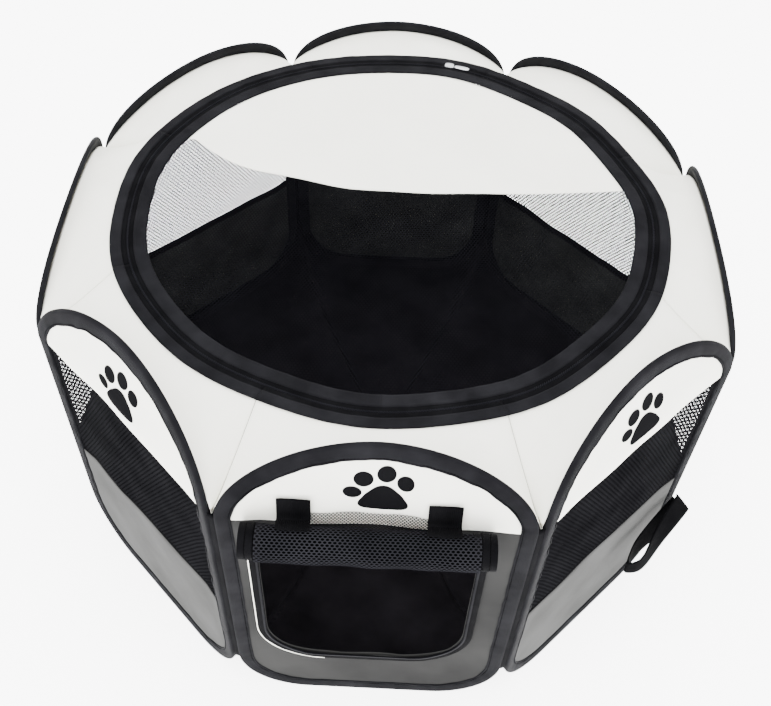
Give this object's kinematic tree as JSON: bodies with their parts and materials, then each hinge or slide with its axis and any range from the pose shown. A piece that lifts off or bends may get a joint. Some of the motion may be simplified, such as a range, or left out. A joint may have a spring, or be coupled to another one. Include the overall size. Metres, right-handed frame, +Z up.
{
  "type": "pet playpen",
  "caption": "Pop-up octagonal pet playpen: wire-hooped cloth and mesh panels, zipped mesh top, roll-up door and a carry handle.",
  "frame": {"origin": "on the ground under the middle of the octagon", "axes": "+Z up, the door faces -Y, +X to the right of someone facing the door"},
  "size_m": [0.9116, 0.9533, 0.565],
  "materials": {
    "spring_steel": "bare spring wire",
    "black_tape": "black polyester binding and zip tape, fine rib",
    "cream_cloth": "off-white coated polyester, fine plain weave, soft sheen",
    "black_net": "black knitted polyester net",
    "grey_oxford": "mid-grey coated oxford cloth",
    "floor_cloth": "near-black coated oxford cloth",
    "black_webbing": "black polyester webbing",
    "zip_metal": "cast zinc zip slider, satin"
  },
  "bodies": {
    "front_panel": {"front_hoop_wire": "spring_steel", "front_hoop_binding": "black_tape", "front_arch_cloth": "cream_cloth", "front_canopy_gore": "cream_cloth", "door_surround": "grey_oxford", "door_zip_tape": "black_tape", "floor_sheet": "floor_cloth", "canopy_zip_tape": "black_tape"},
    "front_right_panel": {"front_right_hoop_wire": "spring_steel", "front_right_hoop_binding": "black_tape", "front_right_arch_cloth": "cream_cloth", "front_right_canopy_gore": "cream_cloth", "front_right_mesh_window": "black_net", "front_right_lower_band": "grey_oxford"},
    "right_panel": {"right_hoop_wire": "spring_steel", "right_hoop_binding": "black_tape", "right_arch_cloth": "cream_cloth", "right_canopy_gore": "cream_cloth", "right_mesh_window": "black_net", "right_lower_band": "grey_oxford"},
    "back_right_panel": {"back_right_hoop_wire": "spring_steel", "back_right_hoop_binding": "black_tape", "back_right_arch_cloth": "cream_cloth", "back_right_canopy_gore": "cream_cloth", "back_right_mesh_window": "black_net", "back_right_lower_band": "grey_oxford"},
    "back_panel": {"back_hoop_wire": "spring_steel", "back_hoop_binding": "black_tape", "back_arch_cloth": "cream_cloth", "back_canopy_gore": "cream_cloth", "back_mesh_window": "black_net", "back_lower_band": "grey_oxford"},
    "back_left_panel": {"back_left_hoop_wire": "spring_steel", "back_left_hoop_binding": "black_tape", "back_left_arch_cloth": "cream_cloth", "back_left_canopy_gore": "cream_cloth", "back_left_mesh_window": "black_net", "back_left_lower_band": "grey_oxford"},
    "left_panel": {"left_hoop_wire": "spring_steel", "left_hoop_binding": "black_tape", "left_arch_cloth": "cream_cloth", "left_canopy_gore": "cream_cloth", "left_mesh_window": "black_net", "left_lower_band": "grey_oxford"},
    "front_left_panel": {"front_left_hoop_wire": "spring_steel", "front_left_hoop_binding": "black_tape", "front_left_arch_cloth": "cream_cloth", "front_left_canopy_gore": "cream_cloth", "front_left_mesh_window": "black_net", "front_left_lower_band": "grey_oxford"},
    "top_cover": {"cover_zip_tape": "black_tape", "cover_net": "black_net", "cover_shade": "cream_cloth"},
    "top_zip_slider": {"top_zip_slider": "zip_metal"},
    "top_zip_pull": {"top_zip_pull": "zip_metal"},
    "door_roll": {"door_roll": "black_net"},
    "door_tie_left": {"door_tie_left": "black_webbing"},
    "door_tie_right": {"door_tie_right": "black_webbing"},
    "door_zip_slider": {"door_zip_slider": "zip_metal"},
    "carry_handle": {"carry_handle": "black_webbing"}
  },
  "joints": [
    {"name": "fold", "type": "hinge", "parent": "front_panel", "child": "front_right_panel", "pos_m": [0.18451, -0.44546, 0.28], "axis": [0, 0, 1], "range_deg": [0, 106], "deforming": ["front_canopy_gore", "front_right_canopy_gore", "right_canopy_gore", "back_right_canopy_gore", "back_canopy_gore", "back_left_canopy_gore", "left_canopy_gore", "front_left_canopy_gore", "floor_sheet", "canopy_zip_tape", "cover_zip_tape", "cover_net", "cover_shade", "top_zip_slider", "top_zip_pull"]},
    {"name": "corner_front_right_to_right", "type": "hinge", "parent": "front_right_panel", "child": "right_panel", "pos_m": [0.451, -0.18681, 0.28], "axis": [0, 0, 1], "range_deg": [-106, 0]},
    {"name": "corner_right_to_back_right", "type": "hinge", "parent": "right_panel", "child": "back_right_panel", "pos_m": [0.44546, 0.18451, 0.28], "axis": [0, 0, 1], "range_deg": [0, 106]},
    {"name": "corner_back_right_to_back", "type": "hinge", "parent": "back_right_panel", "child": "back_panel", "pos_m": [0.18681, 0.451, 0.28], "axis": [0, 0, 1], "range_deg": [-106, 0]},
    {"name": "corner_front_to_front_left", "type": "hinge", "parent": "front_panel", "child": "front_left_panel", "pos_m": [-0.18681, -0.451, 0.28], "axis": [0, 0, 1], "range_deg": [0, 106]},
    {"name": "corner_front_left_to_left", "type": "hinge", "parent": "front_left_panel", "child": "left_panel", "pos_m": [-0.44546, -0.18451, 0.28], "axis": [0, 0, 1], "range_deg": [-106, 0]},
    {"name": "corner_left_to_back_left", "type": "hinge", "parent": "left_panel", "child": "back_left_panel", "pos_m": [-0.451, 0.18681, 0.28], "axis": [0, 0, 1], "range_deg": [0, 106]},
    {"name": "top_cover_lift", "type": "slide", "parent": "front_panel", "child": "top_cover", "axis": [0, 0, -1], "range_m": [-0.3, 0]},
    {"name": "top_zip_travel", "type": "hinge", "parent": "front_panel", "child": "top_zip_slider", "pos_m": [0, 0, 0.53], "axis": [0, 0, 1], "range_deg": [-340, 0]},
    {"name": "top_zip_pull_flip", "type": "hinge", "parent": "top_zip_slider", "child": "top_zip_pull", "pos_m": [0.08925, 0.34835, 0.5332], "axis": [0.225, 0.9744, 0], "range_deg": [-90, 0]},
    {"name": "door_roll_drop", "type": "hinge", "parent": "front_panel", "child": "door_roll", "pos_m": [-0.008, -0.4519, 0.428], "axis": [-1, 0, 0], "range_deg": [-45, 0]},
    {"name": "door_tie_left_peel", "type": "hinge", "parent": "front_panel", "child": "door_tie_left", "pos_m": [-0.092, -0.4455, 0.489], "axis": [1, 0, 0], "range_deg": [-95, 0], "deforming": ["door_tie_left"]},
    {"name": "door_tie_right_peel", "type": "hinge", "parent": "front_panel", "child": "door_tie_right", "pos_m": [0.076, -0.4455, 0.489], "axis": [1, 0, 0], "range_deg": [-95, 0], "deforming": ["door_tie_right"]},
    {"name": "door_zip_travel", "type": "slide", "parent": "front_panel", "child": "door_zip_slider", "axis": [0, 0, 1], "range_m": [-0.18, 0]},
    {"name": "carry_handle_swing", "type": "hinge", "parent": "front_right_panel", "child": "carry_handle", "pos_m": [0.44959, -0.19954, 0.158], "axis": [0, 0, -1], "range_deg": [-60, 0]}
  ],
  "couplings": [
    {"joint": "corner_front_right_to_right", "follows": "fold", "ratio": -1},
    {"joint": "corner_right_to_back_right", "follows": "fold", "ratio": 1},
    {"joint": "corner_back_right_to_back", "follows": "fold", "ratio": -1},
    {"joint": "corner_front_to_front_left", "follows": "fold", "ratio": 1},
    {"joint": "corner_front_left_to_left", "follows": "fold", "ratio": -1},
    {"joint": "corner_left_to_back_left", "follows": "fold", "ratio": 1}
  ]
}
